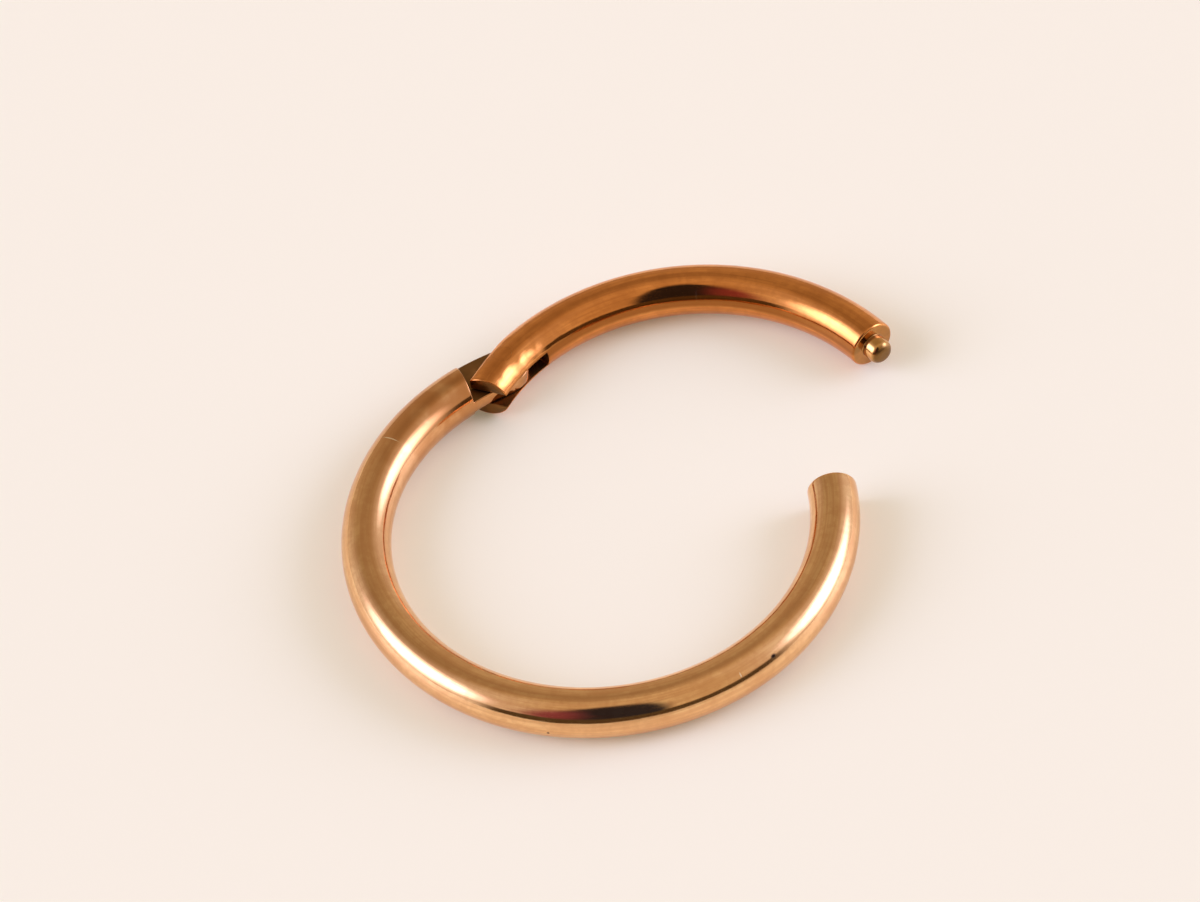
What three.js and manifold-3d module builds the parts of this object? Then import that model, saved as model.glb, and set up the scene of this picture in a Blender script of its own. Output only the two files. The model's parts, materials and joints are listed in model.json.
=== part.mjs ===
// Hinged segment nose ring of round wire, lying on its side with its gate part way open.
// Millimetres, +Z up. The ring is drawn shut round its own centre, with the middle of the wire at Z = 0.
// The gate is then swung open on its pin, and the ring is laid on Z = 0 under the middle of its outline.
// Angles round the ring are in degrees from +X, anticlockwise seen from above.

import * as THREE from 'three';
import { ConvexGeometry } from 'three/addons/geometries/ConvexGeometry.js';
import { mergeVertices } from 'three/addons/utils/BufferGeometryUtils.js';
import Module from 'manifold-3d';

const wasm = await Module();
wasm.setup();

// Ring
const insideDiameter = 10;
const wireDiameter = 1.2;
const seamAngle = 9; // where the gate meets the fixed segment when the ring is shut
const seamGap = 0.05; // between the two end faces when the ring is shut

// Hinge: reaches are measured from the pin's axis
const pinAngle = 114.3;
const pinOutset = 0.05; // from the middle of the wire out to the pin's axis
const pinDiameter = 0.44;
const pinFitClearance = 0.02; // round the pin in the ears
const pinRunningClearance = 0.03; // round the pin in the tongue
const tongueThickness = 0.34;
const knuckleRadius = 0.6; // of the tongue's round tip
const slotClearance = 0.04; // from the tongue to each ear
const slotEndClearance = 0.26; // from the tongue's tip to the end of the slot
const earReach = 0.94; // to the ears' end faces
const earLean = 16.4; // of the end faces away from square, so that the notch opens inwards
const earWall = 0.1; // metal left outside the pin where the ears are filed flat
const bevelLean = 6.4; // of the filed flat towards the ears' ends
const shoulderClearance = 0.05; // from the ears' corners to the shoulder as they swing past

// Stub on the gate's free end, and its socket
const stubLedge = 0.29; // width of the end face left round the stub
const stubReach = 0.43;
const socketClearance = 0.03;

// Pose
const openAngle = 29.3; // from shut

// Smoothness
const wireSides = 24;
const arcStep = 3; // degrees
const pinSides = 20;
const knuckleSides = 40;
const stubSides = 20;
const domeSteps = 4;

const roseGold = { color: 0xd9a184, roughness: 0.22, metalness: 1 };
const copperGold = { color: 0xcf8f70, roughness: 0.2, metalness: 1 };

const radians = THREE.MathUtils.degToRad;
const wireRadius = wireDiameter / 2;
const ringRadius = insideDiameter / 2 + wireRadius;
const pinRadius = pinDiameter / 2;
const stubRadius = wireRadius - stubLedge;
const cutSize = 3 * wireDiameter;

const pin = onCircle(ringRadius + pinOutset, radians(pinAngle));
const gateEndAngle = radians(seamAngle) + seamGap / ringRadius;
const bevelReach = pinRadius + pinFitClearance + earWall;
const shoulderReach = cornerReach(earReach, bevelReach, radians(90 + earLean - bevelLean)) + shoulderClearance;
const slotReach = knuckleRadius + slotEndClearance;

function onCircle(radius, angle) {
  return new THREE.Vector3(radius * Math.cos(angle), radius * Math.sin(angle), 0);
}

// Distance from the pin's axis to the edge between two flats, given the angle between their normals.
function cornerReach(first, second, between) {
  const squares = first ** 2 + second ** 2 - 2 * first * second * Math.cos(between);
  return Math.sqrt(squares) / Math.sin(between);
}

function solid(geometry) {
  const bare = geometry.clone();
  bare.deleteAttribute('normal');
  bare.deleteAttribute('uv');
  const merged = mergeVertices(bare, 1e-5);
  return new wasm.Manifold(new wasm.Mesh({
    numProp: 3,
    vertProperties: new Float32Array(merged.attributes.position.array),
    triVerts: new Uint32Array(merged.index.array),
  }));
}

function geometryOf(manifold) {
  const mesh = manifold.getMesh();
  const geometry = new THREE.BufferGeometry();
  geometry.setAttribute('position', new THREE.BufferAttribute(mesh.vertProperties, 3));
  geometry.setIndex(new THREE.BufferAttribute(mesh.triVerts, 1));
  geometry.computeVertexNormals();
  return geometry;
}

class RingArc extends THREE.Curve {
  constructor(start, end) {
    super();
    this.start = start;
    this.end = end;
  }

  getPoint(share, target = new THREE.Vector3()) {
    return target.copy(onCircle(ringRadius, THREE.MathUtils.lerp(this.start, this.end, share)));
  }
}

// The wire's section has a flat at the bottom, which the ring lies on, and each side touches the true round.
function wireSection() {
  const halfStep = Math.PI / wireSides;
  const cornerRadius = wireRadius / Math.cos(halfStep);
  const corners = [];
  for (let side = 0; side < wireSides; side += 1) {
    const corner = onCircle(cornerRadius, halfStep * (2 * side + 1));
    corners.push(new THREE.Vector2(corner.x, corner.y));
  }
  return new THREE.Shape(corners);
}

function wireArc(start, end) {
  const steps = Math.ceil(Math.abs(end - start) / radians(arcStep));
  const extrudePath = new RingArc(start, end);
  return solid(new THREE.ExtrudeGeometry(wireSection(), { steps, extrudePath, bevelEnabled: false }));
}

// At the hinge, X runs along the wire from the fixed segment to the gate and Y points out of the ring.
function atHinge(geometry) {
  return geometry.rotateZ(radians(pinAngle - 90)).translate(pin.x, pin.y, 0);
}

// Everything past a flat that stands at a reach from the pin's axis, between two heights.
function pastFlat(reach, direction, low = -cutSize / 2, high = cutSize / 2) {
  const block = new THREE.BoxGeometry(cutSize, cutSize, high - low);
  block.translate(reach + cutSize / 2, 0, (low + high) / 2);
  return solid(atHinge(block.rotateZ(direction)));
}

// A round rod about the pin's axis, long enough to pass right through the wire.
function pinRod(radius, sides = pinSides) {
  const rod = new THREE.CylinderGeometry(radius, radius, 2 * cutSize, sides);
  return solid(rod.rotateX(Math.PI / 2).translate(pin.x, pin.y, 0));
}

// A round rod with a domed end, standing along the wire on a face at an angle round the ring.
function domedRod(radius, reach, root, angle) {
  const profile = [new THREE.Vector2(0, -root), new THREE.Vector2(radius, -root)];
  for (let step = 0; step < domeSteps; step += 1) {
    const turn = (step / domeSteps) * Math.PI / 2;
    profile.push(new THREE.Vector2(radius * Math.cos(turn), reach - radius + radius * Math.sin(turn)));
  }
  profile.push(new THREE.Vector2(0, reach));
  const face = onCircle(ringRadius, angle);
  return new THREE.LatheGeometry(profile, stubSides).rotateZ(angle - Math.PI).translate(face.x, face.y, 0);
}

function stub() {
  return solid(domedRod(stubRadius, stubReach, stubLedge, gateEndAngle));
}

// The stub swings out of the socket, so the socket is the stub's path with a clearance all round.
function socket() {
  const radius = stubRadius + socketClearance;
  const rod = domedRod(radius, stubReach + socketClearance, stubReach, gateEndAngle);
  const exitAngle = 2 * stubReach / onCircle(ringRadius, gateEndAngle).distanceTo(pin);
  const swungOut = rod.clone().translate(-pin.x, -pin.y, 0).rotateZ(exitAngle).translate(pin.x, pin.y, 0);
  const points = [];
  for (const { attributes: { position } } of [rod, swungOut]) {
    for (let index = 0; index < position.count; index += 1) {
      points.push(new THREE.Vector3().fromBufferAttribute(position, index));
    }
  }
  return solid(new ConvexGeometry(points));
}

function fixedSegment() {
  const tongueHalf = tongueThickness / 2;
  const pastTip = radians(pinAngle) - (knuckleRadius + wireRadius) / ringRadius - 2 * Math.PI;
  return wireArc(radians(seamAngle), pastTip)
    .subtract(pastFlat(0, 0).subtract(pinRod(knuckleRadius, knuckleSides)))
    .subtract(pastFlat(-shoulderReach, 0, tongueHalf, cutSize))
    .subtract(pastFlat(-shoulderReach, 0, -cutSize, -tongueHalf))
    .subtract(pinRod(pinRadius + pinRunningClearance))
    .subtract(socket());
}

function gateOutline() {
  const pastEars = radians(pinAngle) + (earReach + wireRadius) / ringRadius;
  return wireArc(gateEndAngle, pastEars)
    .subtract(pastFlat(earReach, radians(180 + earLean)))
    .subtract(pastFlat(bevelReach, radians(90 + bevelLean)));
}

function hingedGate() {
  const slotHalf = tongueThickness / 2 + slotClearance;
  return gateOutline()
    .subtract(pastFlat(-slotReach, Math.PI, -slotHalf, slotHalf))
    .subtract(pinRod(pinRadius + pinFitClearance))
    .add(stub());
}

// The pin's ends are filed flush with the ears.
function hingePin() {
  return pinRod(pinRadius).intersect(gateOutline());
}

function piece(name, manifold, finish) {
  const mesh = new THREE.Mesh(geometryOf(manifold), new THREE.MeshStandardMaterial(finish));
  mesh.name = name;
  return mesh;
}

const ring = new THREE.Group();
ring.add(piece('fixed_segment', fixedSegment(), roseGold));

const swing = new THREE.Group();
swing.position.copy(pin);
swing.rotation.z = radians(openAngle);
ring.add(swing);

const shutGate = new THREE.Group();
shutGate.position.copy(pin).negate();
shutGate.add(piece('hinged_gate', hingedGate(), copperGold));
shutGate.add(piece('hinge_pin', hingePin(), copperGold));
swing.add(shutGate);

const outline = new THREE.Box3().setFromObject(ring, true);
const middle = outline.getCenter(new THREE.Vector3());
ring.position.set(-middle.x, -middle.y, -outline.min.z);

const part = new THREE.Group();
part.add(ring);

export default part;
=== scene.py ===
"""Hinged segment nose ring of polished rose gold wire, lying on its side with its gate part way open."""

import json
import math
from collections import namedtuple

import bmesh
import bpy
from mathutils import Matrix, Vector
from mathutils.kdtree import KDTree


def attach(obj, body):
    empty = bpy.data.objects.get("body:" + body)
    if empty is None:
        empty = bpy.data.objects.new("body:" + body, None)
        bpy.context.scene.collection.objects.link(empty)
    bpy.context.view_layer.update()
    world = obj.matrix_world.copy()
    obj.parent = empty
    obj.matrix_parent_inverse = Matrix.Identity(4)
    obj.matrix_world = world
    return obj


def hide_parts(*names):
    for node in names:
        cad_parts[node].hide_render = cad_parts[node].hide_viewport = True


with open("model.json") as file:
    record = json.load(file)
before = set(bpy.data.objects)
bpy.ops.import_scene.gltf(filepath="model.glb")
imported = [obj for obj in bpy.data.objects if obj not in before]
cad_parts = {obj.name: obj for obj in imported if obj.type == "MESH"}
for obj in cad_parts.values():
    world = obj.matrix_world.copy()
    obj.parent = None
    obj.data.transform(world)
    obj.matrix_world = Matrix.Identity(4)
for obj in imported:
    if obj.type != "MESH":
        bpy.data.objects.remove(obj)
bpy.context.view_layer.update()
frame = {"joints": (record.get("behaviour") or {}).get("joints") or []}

bl_info = {
    "name": "Hinged nose ring",
    "version": (1, 0, 0),
    "blender": (4, 5, 0),
    "location": "View3D > Sidebar > Nose Ring",
    "description": "Builds a hinged segment ring of round wire, its finish and a plain studio",
    "category": "Object",
}

MM = 0.001
PIN = Vector(frame["joints"][0]["pos_m"])


class RingSizes(bpy.types.PropertyGroup):
    """Sizes of the ring. Reaches are measured from the hinge pin's axis."""
    inside_diameter: bpy.props.FloatProperty(
        name="Inside diameter", description="Across the hole of the shut ring", default=10 * MM,
        unit='LENGTH')
    wire_diameter: bpy.props.FloatProperty(
        name="Wire diameter", description="Thickness of the round wire", default=1.2 * MM, unit='LENGTH')
    seam_angle: bpy.props.FloatProperty(
        name="Seam", description="Where the shut gate meets the fixed segment, round the ring from +X",
        default=math.radians(9), subtype='ANGLE')
    seam_gap: bpy.props.FloatProperty(
        name="Seam gap", description="Between the end faces when shut", default=0.05 * MM, unit='LENGTH')
    end_round: bpy.props.FloatProperty(
        name="End rounding", description="Of the rims of both end faces", default=0.06 * MM, unit='LENGTH')
    pin_angle: bpy.props.FloatProperty(
        name="Pin place", description="Of the hinge pin round the ring from +X",
        default=math.radians(114.3), subtype='ANGLE')
    pin_outset: bpy.props.FloatProperty(
        name="Pin outset", description="From the middle of the wire out to the pin's axis",
        default=0.05 * MM, unit='LENGTH')
    pin_diameter: bpy.props.FloatProperty(
        name="Pin diameter", description="Of the hinge pin", default=0.44 * MM, unit='LENGTH')
    pin_fit: bpy.props.FloatProperty(
        name="Pin fit", description="Clearance round the pin in the ears", default=0.003 * MM,
        unit='LENGTH')
    pin_running: bpy.props.FloatProperty(
        name="Pin running clearance", description="Round the pin in the tongue", default=0.03 * MM,
        unit='LENGTH')
    tongue_thickness: bpy.props.FloatProperty(
        name="Tongue thickness", description="Of the flat tongue between the ears",
        default=0.34 * MM, unit='LENGTH')
    knuckle_radius: bpy.props.FloatProperty(
        name="Knuckle radius", description="Of the tongue's round tip", default=0.6 * MM, unit='LENGTH')
    slot_clearance: bpy.props.FloatProperty(
        name="Slot clearance", description="From the tongue to each ear", default=0.04 * MM, unit='LENGTH')
    slot_reach: bpy.props.FloatProperty(
        name="Slot reach", description="To the end of the slot", default=0.86 * MM, unit='LENGTH')
    shoulder_reach: bpy.props.FloatProperty(
        name="Shoulder reach", description="Back to the fixed segment's shoulder", default=1.12 * MM,
        unit='LENGTH')
    ear_reach: bpy.props.FloatProperty(
        name="Ear reach", description="To the ears' end faces", default=0.94 * MM, unit='LENGTH')
    ear_lean: bpy.props.FloatProperty(
        name="Ear lean", description="Of the ears' end faces away from square",
        default=math.radians(16.4), subtype='ANGLE')
    flat_reach: bpy.props.FloatProperty(
        name="Flat reach", description="To the flat filed on the outside of the ears", default=0.34 * MM,
        unit='LENGTH')
    flat_lean: bpy.props.FloatProperty(
        name="Flat lean", description="Of the filed flat towards the ears' ends",
        default=math.radians(6.4), subtype='ANGLE')
    edge_round: bpy.props.FloatProperty(
        name="Edge rounding", description="Of the edges left by cutting and filing", default=0.02 * MM,
        unit='LENGTH')
    stub_diameter: bpy.props.FloatProperty(
        name="Stub diameter", description="Of the stub on the gate's end", default=0.62 * MM,
        unit='LENGTH')
    stub_reach: bpy.props.FloatProperty(
        name="Stub reach", description="Out of the gate's end", default=0.46 * MM, unit='LENGTH')
    stub_rounding: bpy.props.FloatProperty(
        name="Stub rounding", description="Of the stub's end", default=0.2 * MM, unit='LENGTH')
    socket_clearance: bpy.props.FloatProperty(
        name="Socket clearance", description="Round the stub in its socket", default=0.02 * MM,
        unit='LENGTH')
    open_angle: bpy.props.FloatProperty(
        name="Opening", description="Of the gate at rest, from shut", default=math.radians(29.3),
        subtype='ANGLE')


class RingColours(bpy.types.PropertyGroup):
    """Colours of the plating and of the floor."""
    fixed_metal: bpy.props.FloatVectorProperty(
        name="Fixed segment", description="Rose gold of the fixed segment", default=(0.94, 0.575, 0.275),
        subtype='COLOR', size=3, min=0, max=1)
    fixed_tarnish: bpy.props.FloatVectorProperty(
        name="Fixed segment, worn", description="Of its worn and dulled places",
        default=(0.73, 0.37, 0.16), subtype='COLOR', size=3, min=0, max=1)
    gate_metal: bpy.props.FloatVectorProperty(
        name="Gate", description="Deeper copper gold of the gate", default=(0.88, 0.35, 0.095),
        subtype='COLOR', size=3, min=0, max=1)
    gate_tarnish: bpy.props.FloatVectorProperty(
        name="Gate, worn", description="Of its worn and dulled places", default=(0.60, 0.215, 0.055),
        subtype='COLOR', size=3, min=0, max=1)
    floor: bpy.props.FloatVectorProperty(
        name="Floor", description="Plain pale floor", default=(0.96, 0.90, 0.72), subtype='COLOR', size=3,
        min=0, max=1)


def sizes():
    return bpy.context.scene.ring_sizes


def colours():
    return bpy.context.scene.ring_colours


# Places on the ring

class Arc:
    """A round arc of the wire: where its centre is, and how far it is turned from its shut place."""

    def __init__(self, centre, turn):
        self.centre = centre
        self.turn = turn

    def direction(self, angle):
        return Vector((math.cos(angle + self.turn), math.sin(angle + self.turn), 0))

    def point(self, angle):
        """The middle of the wire at an angle round the shut ring from +X."""
        return self.centre + ring_radius() * self.direction(angle)


def ring_radius():
    return (sizes().inside_diameter + sizes().wire_diameter) / 2


def wire_radius():
    return sizes().wire_diameter / 2


def slot_half():
    """Half the width of the slot between the ears."""
    return sizes().tongue_thickness / 2 + sizes().slot_clearance


def fixed_arc():
    return swung_arc(0)


def gate_arc():
    return swung_arc(sizes().open_angle)


def swung_arc(turn):
    """The arc of the gate when it has swung open on the pin."""
    to_pin = ring_radius() + sizes().pin_outset
    angle = sizes().pin_angle + turn
    return Arc(PIN - to_pin * Vector((math.cos(angle), math.sin(angle), 0)), turn)


def gate_end_angle():
    return sizes().seam_angle + sizes().seam_gap / ring_radius()


# Modelling steps

def clear_selection():
    bpy.ops.object.select_all(action='DESELECT')


def activate(piece):
    clear_selection()
    piece.select_set(True)
    bpy.context.view_layer.objects.active = piece


def settle(piece):
    """Puts the piece's place into its mesh."""
    activate(piece)
    bpy.ops.object.transform_apply(location=True, rotation=True, scale=True)


def select_faces(piece, wanted):
    """In edit mode, selects only the faces that pass a test."""
    mesh = bmesh.from_edit_mesh(piece.data)
    bpy.ops.mesh.select_all(action='DESELECT')
    bpy.ops.mesh.select_mode(type='FACE')
    for face in mesh.faces:
        face.select_set(wanted(face))
    bmesh.update_edit_mesh(piece.data)


WIRE_SIDES = 64
ROD_SIDES = 48
ARC_STEP = math.radians(1.5)


def wire_arc(name, arc, start, end):
    """Spins the wire's round section about the arc's centre, and closes both ends."""
    turn = start + arc.turn
    clear_selection()
    bpy.ops.mesh.primitive_circle_add(
        vertices=WIRE_SIDES, radius=wire_radius(), fill_type='NOTHING',
        location=arc.point(start), rotation=(math.radians(90), 0, turn))
    piece = bpy.context.object
    piece.name = name
    settle(piece)
    bpy.ops.object.mode_set(mode='EDIT')
    bpy.ops.mesh.select_all(action='SELECT')
    steps = math.ceil(abs(end - start) / ARC_STEP)
    bpy.ops.mesh.spin(steps=steps, angle=start - end, center=arc.centre, axis=(0, 0, 1))
    bpy.ops.mesh.select_all(action='SELECT')
    bpy.ops.mesh.fill_holes(sides=0)
    bpy.ops.mesh.select_all(action='SELECT')
    bpy.ops.mesh.normals_make_consistent(inside=False)
    bpy.ops.object.mode_set(mode='OBJECT')
    return piece


SAME_PLACE = 0.01 * MM
WIRE_RIM_SEGMENTS = 4
STUB_RIM_SEGMENTS = 8


def round_rim(piece, face_middle, rounding, segments):
    """Rounds the rim of the flat face whose middle is at a place."""
    activate(piece)
    bpy.ops.object.mode_set(mode='EDIT')
    select_faces(piece, lambda face: (face.calc_center_median() - face_middle).length < SAME_PLACE)
    bpy.ops.mesh.bevel(offset=rounding, segments=segments, affect='EDGES')
    bpy.ops.object.mode_set(mode='OBJECT')


def carve(piece, tool, operation='DIFFERENCE'):
    """Cuts, joins or intersects with a tool, which is used up."""
    cut = piece.modifiers.new("carve", 'BOOLEAN')
    cut.object = tool
    cut.operation = operation
    cut.solver = 'EXACT'
    activate(piece)
    bpy.ops.object.modifier_apply(modifier=cut.name)
    bpy.data.objects.remove(tool)


CUTTER = 3.6 * MM


def cutter_past(reach, direction, low=-CUTTER / 2, high=CUTTER / 2):
    """A block past a flat at a reach from the pin's axis, between two heights from mid-wire."""
    middle = reach + CUTTER / 2
    ahead = Vector((middle * math.cos(direction), middle * math.sin(direction), (low + high) / 2))
    clear_selection()
    bpy.ops.mesh.primitive_cube_add(
        size=1, location=PIN + ahead, rotation=(0, 0, direction), scale=(CUTTER, CUTTER, high - low))
    block = bpy.context.object
    settle(block)
    return block


def rod_about_pin(radius):
    """A rod on the pin's axis, to cut with or to be made the pin."""
    clear_selection()
    bpy.ops.mesh.primitive_cylinder_add(vertices=ROD_SIDES, radius=radius, depth=CUTTER, location=PIN)
    rod = bpy.context.object
    settle(rod)
    return rod


CUT_ANGLE = math.radians(28)
EDGE_SEGMENTS = 3
# In times the edge rounding: how near a cut edge's corner a point is snapped to it, how near the edge
# a line beside it is taken out, and how far apart the places are that stand for the edge
SNAP_REACH = 1.2
CLEAR_REACH = 2
PLACE_STEP = 0.5
# A line runs along a cut edge when the cosine of the angle between them is above this
ALONG_CUT = 0.8
# Points this close are merged after snapping, then as doubles, and slivers this thin are taken out
SNAPPED_GAP = 0.001 * MM
DOUBLE_GAP = 0.005 * MM
SLIVER_GAP = 0.002 * MM
# Slanted, so that hardly any two points of a piece lie equally far along it
ORDER_DIRECTION = Vector((1, 0.37, 0.13))


def cut_edges(mesh):
    """The edges that cutting left sharp."""
    return [edge for edge in mesh.edges if edge.calc_face_angle(0) > CUT_ANGLE]


def put_in_order(piece):
    """In edit mode, orders points, edges and faces by place, since cutting leaves them in any order."""
    mesh = bmesh.from_edit_mesh(piece.data)
    mesh.verts.sort(key=lambda point: point.co.dot(ORDER_DIRECTION))
    for parts in (mesh.edges, mesh.faces):
        parts.sort(key=lambda part: sum(corner.co.dot(ORDER_DIRECTION) for corner in part.verts))
    for parts in (mesh.verts, mesh.edges, mesh.faces):
        parts.index_update()
    bmesh.update_edit_mesh(piece.data)


def snap_to_cuts(piece):
    """In edit mode, moves each point that lies too close to a cut edge's corner onto the nearest one."""
    mesh = bmesh.from_edit_mesh(piece.data)
    corners = {corner for edge in cut_edges(mesh) for corner in edge.verts}
    for point in set(mesh.verts) - corners:
        links = [edge for edge in point.link_edges if edge.other_vert(point) in corners]
        nearest = min(links, key=lambda edge: edge.calc_length(), default=None)
        if nearest and nearest.calc_length() < SNAP_REACH * sizes().edge_round:
            point.co = nearest.other_vert(point).co
    bmesh.update_edit_mesh(piece.data)
    bpy.ops.mesh.select_all(action='SELECT')
    bpy.ops.mesh.remove_doubles(threshold=SNAPPED_GAP)


def clear_beside_cuts(piece):
    """In edit mode, takes out mesh lines too close beside a cut edge for it to be rounded."""
    reach = CLEAR_REACH * sizes().edge_round
    place_step = PLACE_STEP * sizes().edge_round
    mesh = bmesh.from_edit_mesh(piece.data)
    cuts = cut_edges(mesh)
    places = []
    for edge in cuts:
        start, end = (corner.co for corner in edge.verts)
        steps = max(1, math.ceil((end - start).length / place_step))
        direction = (end - start).normalized()
        places += [(start.lerp(end, step / steps), direction) for step in range(steps + 1)]
    tree = KDTree(len(places))
    for index, (place, direction) in enumerate(places):
        tree.insert(place, index)
    tree.balance()

    def beside_cut(edge):
        start, end = (corner.co for corner in edge.verts)
        line = (end - start).normalized()
        found = [tree.find(place) for place in (start, end)]
        return all(gap < reach and abs(line.dot(places[index][1])) > ALONG_CUT for _, index, gap in found)

    bpy.ops.mesh.select_all(action='DESELECT')
    bpy.ops.mesh.select_mode(type='EDGE')
    for edge in set(mesh.edges) - set(cuts):
        edge.select_set(beside_cut(edge))
    bmesh.update_edit_mesh(piece.data)
    bpy.ops.mesh.dissolve_edges(use_verts=True)


def soften(piece):
    """Rounds the edges left by cutting."""
    activate(piece)
    bpy.ops.object.mode_set(mode='EDIT')
    put_in_order(piece)
    snap_to_cuts(piece)
    bpy.ops.mesh.select_all(action='SELECT')
    bpy.ops.mesh.remove_doubles(threshold=DOUBLE_GAP)
    bpy.ops.mesh.dissolve_degenerate(threshold=SLIVER_GAP)
    clear_beside_cuts(piece)
    bpy.ops.mesh.select_all(action='SELECT')
    bpy.ops.mesh.normals_make_consistent(inside=False)
    bpy.ops.object.mode_set(mode='OBJECT')
    rounding = piece.modifiers.new("round edges", 'BEVEL')
    rounding.width = sizes().edge_round
    rounding.segments = EDGE_SEGMENTS
    rounding.limit_method = 'ANGLE'
    rounding.angle_limit = CUT_ANGLE
    rounding.use_clamp_overlap = False
    rounding.miter_outer = 'MITER_ARC'
    bpy.ops.object.modifier_apply(modifier=rounding.name)


SHARP_ANGLE = math.radians(32)


def shade(piece):
    activate(piece)
    bpy.ops.object.shade_smooth_by_angle(angle=SHARP_ANGLE)


def blunt_rod(arc, grown=0.0):
    """The stub's rod with its rounded end, on the gate's end face. The socket's is grown all round."""
    size = sizes()
    radius = size.stub_diameter / 2 + grown
    reach = size.stub_reach + grown
    root = size.stub_reach / 2
    angle = gate_end_angle()
    foot = arc.point(angle)
    along = arc.direction(angle - math.pi / 2)
    clear_selection()
    bpy.ops.mesh.primitive_cylinder_add(
        vertices=ROD_SIDES, radius=radius, depth=reach + root, location=foot + along * (reach - root) / 2,
        rotation=(math.radians(90), 0, angle + arc.turn))
    rod = bpy.context.object
    settle(rod)
    round_rim(rod, foot + along * reach, size.stub_rounding + grown, STUB_RIM_SEGMENTS)
    return rod


def socket_tool():
    """The room that the stub takes as it swings out of the shut ring, with a clearance."""
    size = sizes()
    seam = fixed_arc().point(gate_end_angle())
    leaving = 2 * size.stub_reach / (seam - PIN).length
    shut = blunt_rod(fixed_arc(), size.socket_clearance)
    swung_out = blunt_rod(swung_arc(leaving), size.socket_clearance)
    activate(shut)
    swung_out.select_set(True)
    bpy.ops.object.join()
    bpy.ops.object.mode_set(mode='EDIT')
    bpy.ops.mesh.select_all(action='SELECT')
    bpy.ops.mesh.convex_hull()
    bpy.ops.object.mode_set(mode='OBJECT')
    return shut


# Pieces

# How far each blank of round wire runs past the pin's axis, more than its tongue or ears need
FIXED_BLANK_PAST_PIN = 1.2 * MM
GATE_BLANK_PAST_PIN = 1.6 * MM


class NOSERING_OT_fixed_segment(bpy.types.Operator):
    """Model the fixed segment: round wire with a tongue at the hinge and a socket in its free end"""
    bl_idname = "nosering.fixed_segment"
    bl_label = "Fixed segment"

    def execute(self, context):
        size = sizes()
        arc = fixed_arc()
        square = size.pin_angle - math.pi / 2
        half = size.tongue_thickness / 2
        past_tip = size.pin_angle - FIXED_BLANK_PAST_PIN / ring_radius() - 2 * math.pi
        piece = wire_arc("fixed_wire", arc, size.seam_angle, past_tip)
        round_rim(piece, arc.point(size.seam_angle), size.end_round, WIRE_RIM_SEGMENTS)
        past_pin = cutter_past(0, square)
        carve(past_pin, rod_about_pin(size.knuckle_radius))
        carve(piece, past_pin)
        carve(piece, cutter_past(-size.shoulder_reach, square, half, CUTTER))
        carve(piece, cutter_past(-size.shoulder_reach, square, -CUTTER, -half))
        carve(piece, socket_tool())
        soften(piece)
        carve(piece, rod_about_pin(size.pin_diameter / 2 + size.pin_running))
        shade(piece)
        finish(piece, "ring", "fixed_segment", fixed_metal(arc))
        return {'FINISHED'}


def gate_outline(name, arc):
    """The gate's wire, with the ears' end faces and the filed flat."""
    size = sizes()
    square = size.pin_angle - math.pi / 2 + arc.turn
    past_ears = size.pin_angle + GATE_BLANK_PAST_PIN / ring_radius()
    piece = wire_arc(name, arc, gate_end_angle(), past_ears)
    round_rim(piece, arc.point(gate_end_angle()), size.end_round, WIRE_RIM_SEGMENTS)
    carve(piece, cutter_past(size.ear_reach, square + math.pi + size.ear_lean))
    carve(piece, cutter_past(size.flat_reach, square + math.pi / 2 + size.flat_lean))
    return piece


class NOSERING_OT_hinged_gate(bpy.types.Operator):
    """Model the hinged gate: round wire with a fork at the hinge and a rounded stub on its free end"""
    bl_idname = "nosering.hinged_gate"
    bl_label = "Hinged gate"

    def execute(self, context):
        size = sizes()
        arc = gate_arc()
        square = size.pin_angle - math.pi / 2 + arc.turn
        piece = gate_outline("gate_wire", arc)
        carve(piece, blunt_rod(arc), 'UNION')
        carve(piece, cutter_past(-size.slot_reach, square + math.pi, -slot_half(), slot_half()))
        soften(piece)
        carve(piece, rod_about_pin(size.pin_diameter / 2 + size.pin_fit))
        shade(piece)
        finish(piece, "gate", "hinged_gate", gate_metal(arc))
        return {'FINISHED'}


class NOSERING_OT_hinge_pin(bpy.types.Operator):
    """Model the hinge pin, filed flush with the round of the ears"""
    bl_idname = "nosering.hinge_pin"
    bl_label = "Hinge pin"

    def execute(self, context):
        arc = gate_arc()
        piece = rod_about_pin(sizes().pin_diameter / 2)
        piece.name = "flush_pin"
        carve(piece, gate_outline("pin_limits", arc), 'INTERSECT')
        shade(piece)
        finish(piece, "gate", "hinge_pin", gate_metal(arc))
        return {'FINISHED'}


def finish(piece, body, node, material):
    piece.data.materials.clear()
    piece.data.materials.append(material)
    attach(piece, body)
    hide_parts(node)


# Finishes and light

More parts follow.
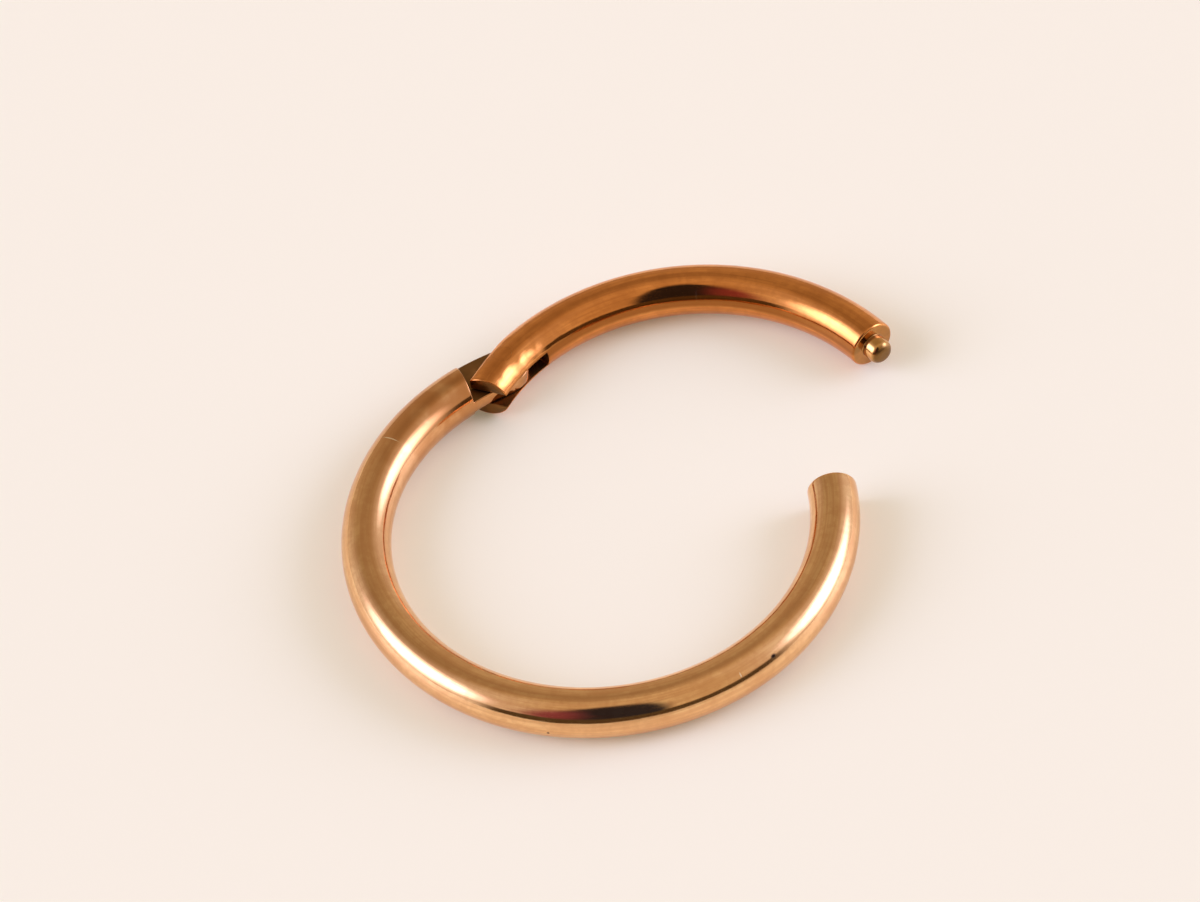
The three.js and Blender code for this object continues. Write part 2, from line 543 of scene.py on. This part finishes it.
class Sketch:
    """Adds nodes to a material or to the world. An input is a value or another node's output."""

    def __init__(self, owner):
        owner.use_nodes = True
        self.tree = owner.node_tree

    def add(self, kind, inputs, output=0, **settings):
        node = self.tree.nodes.new(kind)
        for name, value in settings.items():
            setattr(node, name, value)
        for socket, value in inputs.items():
            self.put(node.inputs[socket], value)
        return node.outputs[output]

    def put(self, socket, value):
        if isinstance(value, bpy.types.NodeSocket):
            self.tree.links.new(value, socket)
        else:
            socket.default_value = value

    def maths(self, operation, *values):
        return self.add('ShaderNodeMath', dict(enumerate(values)), operation=operation)

    def parts(self, vector):
        split = self.add('ShaderNodeSeparateXYZ', {0: vector}).node
        return split.outputs["X"], split.outputs["Y"], split.outputs["Z"]

    def turned(self, vector, angle):
        """The vector turned about Z, so that the direction at the angle becomes +X."""
        return self.add(
            'ShaderNodeVectorRotate', {"Vector": vector, "Angle": -angle}, rotation_type='Z_AXIS')

    def length(self, across, up):
        """How far two distances at right angles reach together."""
        squares = [self.maths('POWER', distance, 2) for distance in (across, up)]
        return self.maths('SQRT', self.maths('ADD', *squares))

    def product(self, first, *others):
        for other in others:
            first = self.maths('MULTIPLY', first, other)
        return first

    def scaled(self, value, span, to_span):
        """The value carried smoothly from one span onto another, and held at its ends."""
        return self.add('ShaderNodeMapRange', {
            "Value": value, "From Min": span[0], "From Max": span[1],
            "To Min": to_span[0], "To Max": to_span[1],
        }, interpolation_type='SMOOTHSTEP')

    def fade(self, value, none_at, full_at):
        """Nought where the value is at one number and one where it is at the other."""
        return self.scaled(value, (none_at, full_at), (0, 1))

    def spot(self, across, up, half_width, half_height, softness, squareness=2.0):
        """One in an oval and nought outside it, soft at its edge. More squareness fills its corners."""
        shares = [
            self.maths('ABSOLUTE', self.maths('DIVIDE', distance, half))
            for distance, half in ((across, half_width), (up, half_height))]
        powers = [self.maths('POWER', share, squareness) for share in shares]
        out = self.maths('POWER', self.maths('ADD', *powers), 1 / squareness)
        return self.fade(out, none_at=1 + softness, full_at=1 - softness)

    def mixed(self, amount, under, over):
        """One colour laid over another. The mix node's colour inputs are its seventh and eighth."""
        return self.add('ShaderNodeMix', {0: amount, 6: under, 7: over}, output=2, data_type='RGBA')

    def noise(self, vector, scale, detail):
        return self.add('ShaderNodeTexNoise', {"Vector": vector, "Scale": scale, "Detail": detail})

    def stretched(self, vector, scales):
        return self.add('ShaderNodeMapping', {"Vector": vector, "Scale": scales})


def with_alpha(colour):
    return (*colour, 1)


# How finely each pattern in the metal repeats, in times to a metre. The drawn ones follow the wire:
# along it, outwards and upwards
DRAWN_LINES = (450, 14000, 14000)
DRAWN_BANDS = (260, 4000, 4000)
WAVES = 700
PATCHES = 1100
SMUDGES = 1500
FILING = 2400
MOTTLING = 5600
GRAIN = 22000

WAVE_DEPTH = 0.004 * MM
LINE_DEPTH = 0.0016 * MM
GATE_FILING_DEPTH = 0.035 * MM

LINE_ROUGHNESS = (0.05, 0.13)
GRAIN_ROUGHNESS = 0.04
MARK_ROUGHNESS = 0.4
MARK_SOFTNESS = 0.5

# The next colour is painted shade in the hinge's slot and round the stub's root, and a painted dark
# reflection on the stub's rounded end
PAINTED_DARK_BROWN = (0.17, 0.085, 0.025)
PIT = (0.03, 0.015, 0.01)
SCRATCH = (0.96, 0.72, 0.46)
HEAT_TINT = (0.58, 0.255, 0.09)
# The next colour is a painted darker reflection in a band along the gate's inner side
PAINTED_REFLECTION_DIM = (0.30, 0.10, 0.02)
BRASSY = (0.66, 0.38, 0.13)


class WireMetal:
    """Polished plating on an arc of the wire, worn along the wire and marked here and there."""

    def __init__(self, name, arc, middle_angle):
        self.material = bpy.data.materials.new(name)
        self.sketch = Sketch(self.material)
        self.shader = self.material.node_tree.nodes["Principled BSDF"]
        sketch = self.sketch
        self.place = sketch.add('ShaderNodeTexCoord', {}, output="Object")
        from_centre = sketch.add(
            'ShaderNodeVectorMath', {0: self.place, 1: arc.centre}, operation='SUBTRACT')
        # Turned so that the arctangent jumps opposite the middle of the arc, where it has no metal
        self.middle_angle = middle_angle
        east, north, self.height = sketch.parts(sketch.turned(from_centre, middle_angle + arc.turn))
        self.round = sketch.maths('ARCTAN2', north, east)
        self.out = sketch.maths('SUBTRACT', sketch.length(east, north), ring_radius())
        self.section = sketch.maths('ARCTAN2', self.height, self.out)
        along = sketch.maths('MULTIPLY', self.round, ring_radius())
        self.wire_place = sketch.add(
            'ShaderNodeCombineXYZ', {"X": along, "Y": self.out, "Z": self.height})
        self.patches = sketch.noise(self.place, PATCHES, detail=3.0)

    def mark(self, angle, section, half_length, half_width):
        """A small mark. Its angles, round the ring and round the wire's section, are in degrees."""
        sketch = self.sketch
        across = sketch.maths('SUBTRACT', self.round, math.radians(angle) - self.middle_angle)
        up = sketch.maths('SUBTRACT', self.section, math.radians(section))
        half_turn = half_length / ring_radius()
        half_rise = half_width / wire_radius()
        return sketch.spot(across, up, half_turn, half_rise, MARK_SOFTNESS)

    def near_hinge(self, none_past, full_within):
        """One near the pin's axis, fading to nought between two distances from it."""
        sketch = self.sketch
        from_pin = sketch.add('ShaderNodeVectorMath', {0: self.place, 1: PIN}, operation='SUBTRACT')
        distance = sketch.add('ShaderNodeVectorMath', {0: from_pin}, output="Value", operation='LENGTH')
        return sketch.fade(distance, none_past, full_within)

    def inner_band(self):
        """One along a narrow band above the middle of the wire, on the side towards the ring's middle."""
        sketch = self.sketch
        rise = sketch.maths('DIVIDE', self.height, wire_radius())
        lower_edge = sketch.fade(rise, none_at=0.0, full_at=0.2)
        upper_edge = sketch.fade(rise, none_at=0.52, full_at=0.4)
        inside = sketch.fade(self.out, none_at=-0.3 * MM, full_at=-0.4 * MM)
        return sketch.product(lower_edge, upper_edge, inside)

    def past(self, angle, nearest, furthest):
        """Nought to one between two distances past an angle, on the way round the ring back to +X."""
        start = angle - self.middle_angle
        none_at = start - nearest / ring_radius()
        full_at = start - furthest / ring_radius()
        return self.sketch.fade(self.round, none_at, full_at)

    def inside_round(self):
        """One where the surface lies inside the round of the wire, so on faces left by cutting."""
        sketch = self.sketch
        depth = sketch.maths('SUBTRACT', wire_radius(), sketch.length(self.out, self.height))
        return sketch.fade(depth, none_at=0.008 * MM, full_at=0.03 * MM)

    def level_faces(self):
        """One where the surface faces straight up or down between the ears."""
        sketch = self.sketch
        normal = sketch.add('ShaderNodeTexCoord', {}, output="Normal")
        level = sketch.fade(sketch.maths('ABSOLUTE', sketch.parts(normal)[2]), none_at=0.9, full_at=0.97)
        from_middle = sketch.maths('ABSOLUTE', self.height)
        between = sketch.fade(
            from_middle, none_at=slot_half() + 0.05 * MM, full_at=slot_half() + 0.01 * MM)
        return sketch.product(level, between)

    def paint_hinge_shade(self, faces):
        """Uneven painted shade on some faces close to the hinge."""
        uneven = self.sketch.scaled(self.patches, (0.25, 0.6), (0.6, 0.95))
        close = self.near_hinge(none_past=1.5 * MM, full_within=1.35 * MM)
        return self.sketch.product(faces, close, uneven)

    def polish(self, colour, tarnish, tints, marks, filing_depth=0.0):
        """Drawn and polished metal. Tints and marks are pairs of amount and colour. Marks are dull."""
        sketch = self.sketch
        lines = sketch.noise(sketch.stretched(self.wire_place, DRAWN_LINES), 1.0, detail=4.0)
        bands = sketch.noise(sketch.stretched(self.wire_place, DRAWN_BANDS), 1.0, detail=2.0)
        mottling = sketch.noise(self.place, MOTTLING, detail=2.0)
        worn = (
            # The pattern, the span of it in which the tarnish sets in, and the most tarnish it gives
            (self.patches, (0.4, 0.66), 0.5),
            (bands, (0.42, 0.66), 0.45),
            (lines, (0.42, 0.62), 0.5),
            (mottling, (0.42, 0.62), 0.35),
        )
        tone = with_alpha(colour)
        for pattern, span, most in worn:
            tone = sketch.mixed(sketch.scaled(pattern, span, (0, most)), tone, with_alpha(tarnish))
        for amount, tint in (*tints, *marks):
            tone = sketch.mixed(amount, tone, with_alpha(tint))
        sketch.put(self.shader.inputs["Base Color"], tone)
        sketch.put(self.shader.inputs["Metallic"], 1.0)
        sketch.put(self.shader.inputs["Roughness"], self.dullness(lines, marks))
        sketch.put(self.shader.inputs["Normal"], self.unevenness(lines, filing_depth))
        return self.material

    def dullness(self, lines, marks):
        """The roughness of drawn lines with a fine grain, and of the marks."""
        sketch = self.sketch
        grain = sketch.noise(self.place, GRAIN, detail=2.0)
        dull = sketch.scaled(lines, (0.3, 0.7), LINE_ROUGHNESS)
        dull = sketch.maths('ADD', dull, sketch.scaled(grain, (0.4, 0.8), (0, GRAIN_ROUGHNESS)))
        for amount, _ in marks:
            dull = sketch.maths('MAXIMUM', dull, sketch.product(amount, MARK_ROUGHNESS))
        return dull

    def unevenness(self, lines, filing_depth):
        """Slow waves and drawn lines and, close to the hinge, hollows left by hand filing."""
        sketch = self.sketch
        waves = sketch.noise(self.place, WAVES, detail=0.0)
        normal = sketch.add('ShaderNodeBump', {"Height": waves, "Distance": WAVE_DEPTH})
        normal = sketch.add('ShaderNodeBump', {"Height": lines, "Distance": LINE_DEPTH, "Normal": normal})
        if filing_depth:
            hollows = sketch.noise(self.place, FILING, detail=0.6)
            close = self.near_hinge(none_past=1.9 * MM, full_within=0.9 * MM)
            normal = sketch.add('ShaderNodeBump', {
                "Strength": close, "Height": hollows, "Distance": filing_depth, "Normal": normal})
        return normal


def fixed_metal(arc):
    metal = WireMetal("rose_gold_plating", arc, middle_angle=math.radians(-120))
    sketch = metal.sketch
    smudges = sketch.scaled(sketch.noise(metal.place, SMUDGES, detail=2.0), (0.35, 0.6), (0.5, 1.0))
    heated = sketch.product(metal.near_hinge(none_past=6.8 * MM, full_within=1.8 * MM), smudges)
    speck = metal.mark(angle=-101.5, section=-8, half_length=0.03 * MM, half_width=0.03 * MM)
    pit = metal.mark(angle=-47.5, section=38, half_length=0.065 * MM, half_width=0.05 * MM)
    scratch = metal.mark(angle=-208, section=84, half_length=0.016 * MM, half_width=0.2 * MM)
    tick = metal.mark(angle=-56.5, section=44, half_length=0.014 * MM, half_width=0.065 * MM)
    tints = [(heated, HEAT_TINT)]
    # The first mark is painted shade on the tongue's level faces in the slot between the ears
    marks = [
        (metal.paint_hinge_shade(metal.level_faces()), PAINTED_DARK_BROWN), (speck, PIT), (pit, PIT), (scratch, SCRATCH),
        (tick, SCRATCH)]
    return metal.polish(colours().fixed_metal, colours().fixed_tarnish, tints, marks)


def gate_metal(arc):
    """The gate's metal, made once for the gate and its pin."""
    made = bpy.data.materials.get("copper_gold_plating")
    if made:
        return made
    metal = WireMetal("copper_gold_plating", arc, middle_angle=math.radians(65))
    sketch = metal.sketch
    end = gate_end_angle()
    # Painted darker reflection in a band above the middle of the wire on its inner side
    worn = sketch.product(metal.inner_band(), 0.8)
    brassy = sketch.product(metal.past(end, nearest=-0.02 * MM, furthest=0.02 * MM), 0.75)
    before_stub = sketch.maths('SUBTRACT', 1.0, metal.past(end, nearest=0.03 * MM, furthest=0.12 * MM))
    # Painted shade on the gate's end face and round the stub's root
    painted_root_shade = sketch.product(brassy, before_stub, metal.inside_round())
    # Painted dark reflection on the stub's rounded end
    tip = sketch.product(metal.past(end, nearest=0.3 * MM, furthest=0.43 * MM), 0.85)
    nick = metal.mark(angle=59.2, section=145, half_length=0.012 * MM, half_width=0.12 * MM)
    tints = [(worn, PAINTED_REFLECTION_DIM), (brassy, BRASSY), (painted_root_shade, PAINTED_DARK_BROWN)]
    # The first mark is painted shade on the faces left by cutting close to the hinge
    marks = [
        (metal.paint_hinge_shade(metal.inside_round()), PAINTED_DARK_BROWN), (tip, PAINTED_DARK_BROWN), (sketch.product(nick, 0.5), SCRATCH)]
    return metal.polish(
        colours().gate_metal, colours().gate_tarnish, tints, marks, GATE_FILING_DEPTH)


# A patch of light, with its angles in degrees
Patch = namedtuple(
    "Patch", "colour azimuth elevation half_width half_height softness squareness", defaults=(2.0,))

SURROUND = (0.66, 0.535, 0.39)
BACKDROP = (0.8, 0.78, 0.75)
DIM_CEILING = (0.33, 0.25, 0.16)
FAR_WALL = (0.52, 0.42, 0.30)
HALO = (1.0, 1.0, 1.15)
SOFT_BOX = (4.5, 4.7, 7.0)
DARK_CLOTH = (0.03, 0.028, 0.042)
RED_CLOTH = (0.27, 0.075, 0.12)
TABLE_EDGE = (0.095, 0.07, 0.04)

# Laid one over the other in this order
LIGHT_PATCHES = (
    Patch(DIM_CEILING, 122, 45, 72, 29, 0.8),
    Patch(FAR_WALL, 98, 18, 38, 30, 0.9),
    Patch(HALO, 15, 12, 34, 40, 0.9),
    Patch(HALO, 190, 12, 36, 42, 0.9),
    Patch(SOFT_BOX, 13, 26, 20.5, 16, 0.7),
    Patch(SOFT_BOX, 190, 28, 22, 17, 0.7),
    Patch(DARK_CLOTH, 269.5, 37, 24, 38, 0.15, 3.0),
    Patch(RED_CLOTH, 246, 31, 11, 24, 0.7),
    Patch(TABLE_EDGE, 281.5, 7, 59, 12, 0.12, 8.0),
)


class StudioLight:
    """The world's light: patches on a warm surround, placed by azimuth from +X and by elevation."""

    def __init__(self, world, surround):
        self.sketch = Sketch(world)
        self.sketch.tree.nodes.clear()
        self.direction = self.sketch.add('ShaderNodeTexCoord', {}, output="Generated")
        self.light = with_alpha(surround)

    def lay(self, patch):
        """Lays an oval patch over the light that is there."""
        sketch = self.sketch
        east, north, up = sketch.parts(sketch.turned(self.direction, math.radians(patch.azimuth)))
        across = sketch.maths('ARCTAN2', north, east)
        rise = sketch.maths('SUBTRACT', sketch.maths('ARCSINE', up), math.radians(patch.elevation))
        spot = sketch.spot(
            across, rise, math.radians(patch.half_width), math.radians(patch.half_height),
            patch.softness, patch.squareness)
        self.light = sketch.mixed(spot, self.light, with_alpha(patch.colour))

    def shine(self, backdrop):
        """Lights the scene, and shows the camera a plain backdrop instead."""
        sketch = self.sketch
        lit = sketch.add('ShaderNodeBackground', {"Color": self.light})
        plain = sketch.add('ShaderNodeBackground', {"Color": with_alpha(backdrop)})
        seen = sketch.add('ShaderNodeLightPath', {}, output="Is Camera Ray")
        both = sketch.add('ShaderNodeMixShader', {0: seen, 1: lit, 2: plain})
        out = sketch.tree.nodes.new('ShaderNodeOutputWorld')
        sketch.put(out.inputs["Surface"], both)


def light_studio():
    world = bpy.data.worlds.new("studio")
    bpy.context.scene.world = world
    studio = StudioLight(world, SURROUND)
    for patch in LIGHT_PATCHES:
        studio.lay(patch)
    studio.shine(BACKDROP)


FLOOR_SIZE = 1200 * MM
FLOOR_ROUGHNESS = 0.38
FLOOR_GLOW = (0.11, 0.11, 0.08)

# The camera's place is measured from the middle of the fixed segment's arc. The lens and the sensor
# are in millimetres, as the camera takes them
CAMERA_PLACE = Vector((14.31, -144.08, 172.98)) * MM
CAMERA_RIGHT = Vector((0.99659, 0, -0.0825))
CAMERA_FORWARD = Vector((-0.06304, 0.64499, -0.7616))
CAMERA_LENS = 284.2
CAMERA_SENSOR = 36
CAMERA_NEAREST = 10 * MM


def pale_floor():
    material = bpy.data.materials.new("pale_floor")
    material.use_nodes = True
    shader = material.node_tree.nodes["Principled BSDF"]
    shader.inputs["Base Color"].default_value = with_alpha(colours().floor)
    shader.inputs["Roughness"].default_value = FLOOR_ROUGHNESS
    shader.inputs["Emission Color"].default_value = with_alpha(FLOOR_GLOW)
    shader.inputs["Emission Strength"].default_value = 1.0
    return material


def place_camera():
    camera = bpy.data.cameras.new("camera")
    camera.lens = CAMERA_LENS
    camera.sensor_width = CAMERA_SENSOR
    camera.clip_start = CAMERA_NEAREST
    view = bpy.data.objects.new("camera", camera)
    bpy.context.scene.collection.objects.link(view)
    view.location = fixed_arc().centre + CAMERA_PLACE
    up = CAMERA_RIGHT.cross(CAMERA_FORWARD)
    view.rotation_euler = Matrix((CAMERA_RIGHT, up, -CAMERA_FORWARD)).transposed().to_euler()
    bpy.context.scene.camera = view


class NOSERING_OT_studio(bpy.types.Operator):
    """Set the plain pale floor, the soft light and the camera"""
    bl_idname = "nosering.studio"
    bl_label = "Studio"

    def execute(self, context):
        clear_selection()
        bpy.ops.mesh.primitive_plane_add(size=FLOOR_SIZE, location=(0, 0, 0))
        floor = context.object
        floor.name = "floor"
        floor.data.materials.append(pale_floor())
        light_studio()
        place_camera()
        context.scene.view_settings.view_transform = 'Standard'
        return {'FINISHED'}


class NOSERING_PT_panel(bpy.types.Panel):
    """Lists the ring's pieces and sizes"""
    bl_idname = "NOSERING_PT_panel"
    bl_label = "Nose Ring"
    bl_space_type = 'VIEW_3D'
    bl_region_type = 'UI'
    bl_category = "Nose Ring"

    def draw(self, context):
        for piece in PIECES:
            self.layout.operator(piece.bl_idname)
        for group in (context.scene.ring_sizes, context.scene.ring_colours):
            for name in group.__annotations__:
                self.layout.prop(group, name)


PIECES = (NOSERING_OT_fixed_segment, NOSERING_OT_hinged_gate, NOSERING_OT_hinge_pin, NOSERING_OT_studio)
CLASSES = (RingSizes, RingColours, *PIECES, NOSERING_PT_panel)


def register():
    for each in CLASSES:
        bpy.utils.register_class(each)
    bpy.types.Scene.ring_sizes = bpy.props.PointerProperty(type=RingSizes)
    bpy.types.Scene.ring_colours = bpy.props.PointerProperty(type=RingColours)


def unregister():
    del bpy.types.Scene.ring_colours
    del bpy.types.Scene.ring_sizes
    for each in reversed(CLASSES):
        bpy.utils.unregister_class(each)


def main():
    register()
    bpy.ops.nosering.studio()
    bpy.ops.nosering.fixed_segment()
    bpy.ops.nosering.hinged_gate()
    bpy.ops.nosering.hinge_pin()


if __name__ == "__main__":
    main()
